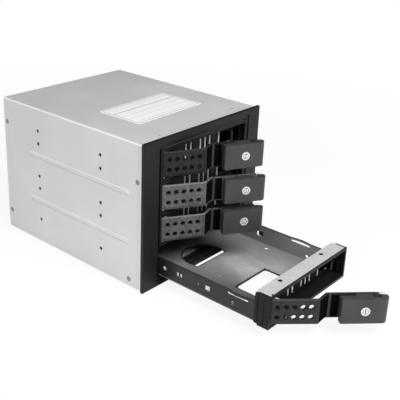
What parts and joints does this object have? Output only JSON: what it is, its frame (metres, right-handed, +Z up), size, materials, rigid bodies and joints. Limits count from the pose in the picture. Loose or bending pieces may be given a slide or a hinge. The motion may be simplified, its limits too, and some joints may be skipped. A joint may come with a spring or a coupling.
{
  "type": "hot swap drive cage",
  "caption": "Steel bay cage with a black bezel and lockable lever-latch trays for 3.5 inch drives, one tray pulled out, with a rear fan.",
  "frame": {"origin": "middle of the steel body's underside", "axes": "+X right seen from the front, -Y out of the front, +Z up"},
  "size_m": [0.148, 0.3758, 0.1295],
  "materials": {
    "body_steel": "satin zinc-grey sheet steel",
    "screw_steel": "dulled zinc",
    "bezel_plastic": "fine-grained black",
    "guide_plastic": "black moulded",
    "circuit_board": "green solder mask",
    "socket_plastic": "black",
    "inlet_plastic": "off-white nylon",
    "bracket_steel": "bright zinc",
    "fan_plastic": "black",
    "pan_steel": "semi-gloss black",
    "tray_plastic": "black moulded",
    "light_pipe": "clear acrylic",
    "pin_steel": "ground",
    "lever_plastic": "fine-grained black",
    "lock_chrome": "bright nickel"
  },
  "bodies": {
    "cage": {"body_shell": "body_steel", "bottom_plate": "body_steel", "body_screws": "screw_steel", "front_bezel": "bezel_plastic", "guide_rail_left": "guide_plastic", "guide_rail_right": "guide_plastic", "backplane_board": "circuit_board", "drive_sockets": "socket_plastic", "data_ports": "socket_plastic", "power_inlets": "inlet_plastic", "board_standoffs": "bracket_steel", "rear_panel": "body_steel", "fan_frame": "fan_plastic", "fan_guard": "bracket_steel", "fan_screws": "screw_steel"},
    "fan": {"fan_rotor": "fan_plastic"},
    "tray_1": {"tray_pan_1": "pan_steel", "tray_frame_1": "tray_plastic", "tray_bracket_1": "bracket_steel", "light_pipes_1": "light_pipe", "hinge_pin_1": "pin_steel"},
    "lever_1": {"lever_arm_1": "lever_plastic", "latch_pin_1": "pin_steel"},
    "latch_1": {"latch_block_1": "lever_plastic"},
    "lock_1": {"lock_cylinder_1": "lock_chrome"},
    "tray_2": {"tray_pan_2": "pan_steel", "tray_frame_2": "tray_plastic", "tray_bracket_2": "bracket_steel", "light_pipes_2": "light_pipe", "hinge_pin_2": "pin_steel"},
    "lever_2": {"lever_arm_2": "lever_plastic", "latch_pin_2": "pin_steel"},
    "latch_2": {"latch_block_2": "lever_plastic"},
    "lock_2": {"lock_cylinder_2": "lock_chrome"},
    "tray_3": {"tray_pan_3": "pan_steel", "tray_frame_3": "tray_plastic", "tray_bracket_3": "bracket_steel", "light_pipes_3": "light_pipe", "hinge_pin_3": "pin_steel"},
    "lever_3": {"lever_arm_3": "lever_plastic", "latch_pin_3": "pin_steel"},
    "latch_3": {"latch_block_3": "lever_plastic"},
    "lock_3": {"lock_cylinder_3": "lock_chrome"},
    "tray_4": {"tray_pan_4": "pan_steel", "tray_frame_4": "tray_plastic", "tray_bracket_4": "bracket_steel", "light_pipes_4": "light_pipe", "hinge_pin_4": "pin_steel"},
    "lever_4": {"lever_arm_4": "lever_plastic", "latch_pin_4": "pin_steel"},
    "latch_4": {"latch_block_4": "lever_plastic"},
    "lock_4": {"lock_cylinder_4": "lock_chrome"}
  },
  "joints": [
    {"name": "tray_1_slide", "type": "slide", "parent": "cage", "child": "tray_1", "axis": [0, -1, 0], "range_m": [0, 0.14]},
    {"name": "lever_1_swing", "type": "hinge", "parent": "tray_1", "child": "lever_1", "pos_m": [-0.0501, -0.0884, 0.1056], "axis": [0, 0, -1], "range_deg": [-27, 63]},
    {"name": "latch_1_pull", "type": "hinge", "parent": "lever_1", "child": "latch_1", "pos_m": [0.02295, -0.12102, 0.1056], "axis": [0, 0, 1], "range_deg": [0, 8], "stiffness_Nm_per_rad": 0.05},
    {"name": "lock_1_turn", "type": "hinge", "parent": "latch_1", "child": "lock_1", "pos_m": [0.01145, -0.12268, 0.1056], "axis": [-0.454, -0.891, 0], "range_deg": [0, 90]},
    {"name": "tray_2_slide", "type": "slide", "parent": "cage", "child": "tray_2", "axis": [0, -1, 0], "range_m": [0, 0.14]},
    {"name": "lever_2_swing", "type": "hinge", "parent": "tray_2", "child": "lever_2", "pos_m": [-0.0501, -0.0884, 0.0773], "axis": [0, 0, -1], "range_deg": [-31.5, 58.5]},
    {"name": "latch_2_pull", "type": "hinge", "parent": "lever_2", "child": "latch_2", "pos_m": [0.02017, -0.12665, 0.0773], "axis": [0, 0, 1], "range_deg": [0, 8], "stiffness_Nm_per_rad": 0.05},
    {"name": "lock_2_turn", "type": "hinge", "parent": "latch_2", "child": "lock_2", "pos_m": [0.00857, -0.1274, 0.0773], "axis": [-0.5225, -0.8526, 0], "range_deg": [0, 90]},
    {"name": "tray_3_slide", "type": "slide", "parent": "cage", "child": "tray_3", "axis": [0, -1, 0], "range_m": [0, 0.14]},
    {"name": "lever_3_swing", "type": "hinge", "parent": "tray_3", "child": "lever_3", "pos_m": [-0.0501, -0.0884, 0.049], "axis": [0, 0, -1], "range_deg": [-31.5, 58.5]},
    {"name": "latch_3_pull", "type": "hinge", "parent": "lever_3", "child": "latch_3", "pos_m": [0.02017, -0.12665, 0.049], "axis": [0, 0, 1], "range_deg": [0, 8], "stiffness_Nm_per_rad": 0.05},
    {"name": "lock_3_turn", "type": "hinge", "parent": "latch_3", "child": "lock_3", "pos_m": [0.00857, -0.1274, 0.049], "axis": [-0.5225, -0.8526, 0], "range_deg": [0, 90]},
    {"name": "tray_4_slide", "type": "slide", "parent": "cage", "child": "tray_4", "axis": [0, -1, 0], "range_m": [-0.1105, 0.0295]},
    {"name": "lever_4_swing", "type": "hinge", "parent": "tray_4", "child": "lever_4", "pos_m": [-0.0501, -0.1989, 0.0207], "axis": [0, 0, -1], "range_deg": [-44.5, 45.5]},
    {"name": "latch_4_pull", "type": "hinge", "parent": "lever_4", "child": "latch_4", "pos_m": [0.00976, -0.25198, 0.0207], "axis": [0, 0, 1], "range_deg": [0, 8], "stiffness_Nm_per_rad": 0.05},
    {"name": "lock_4_turn", "type": "hinge", "parent": "latch_4", "child": "lock_4", "pos_m": [-0.00171, -0.2501, 0.0207], "axis": [-0.7009, -0.7133, 0], "range_deg": [0, 90]},
    {"name": "fan_spin", "type": "hinge", "parent": "cage", "child": "fan", "pos_m": [0.029, 0.0995, 0.0635], "axis": [0, 1, 0], "continuous": true}
  ]
}
